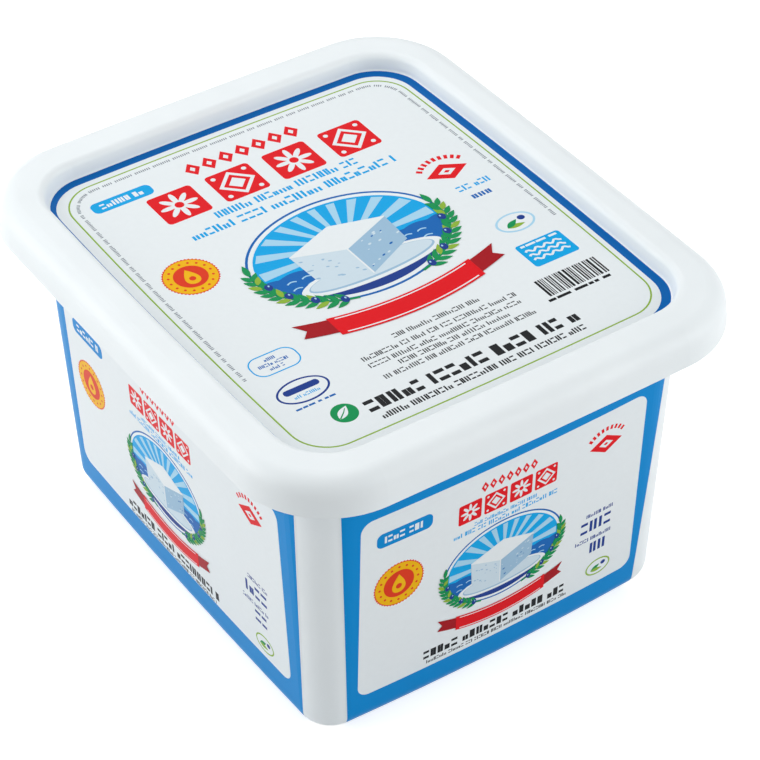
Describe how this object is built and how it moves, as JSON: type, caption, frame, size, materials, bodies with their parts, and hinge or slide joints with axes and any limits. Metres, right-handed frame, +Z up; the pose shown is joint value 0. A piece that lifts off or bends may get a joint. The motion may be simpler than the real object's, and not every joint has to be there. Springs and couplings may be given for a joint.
{
  "type": "cheese tub",
  "caption": "Shut rectangular plastic tub of white cheese in brine, with tapering, slightly bulging walls and a press-on lid whose broad rounded rim frames a sunken panel.",
  "frame": {"origin": "on the ground under the middle of the tub, which is the middle of the bounding box's bottom", "axes": "+Z up, Y along the tub's longer sides, X along its narrower ends; the front is -Y"},
  "size_m": [0.1468, 0.1694, 0.1028],
  "materials": {
    "tub": "white polypropylene under a satin in-mould label printed mostly blue",
    "lid": "white polypropylene, satin gloss"
  },
  "bodies": {
    "root": {"tub": "tub", "lid": "lid"}
  },
  "joints": []
}
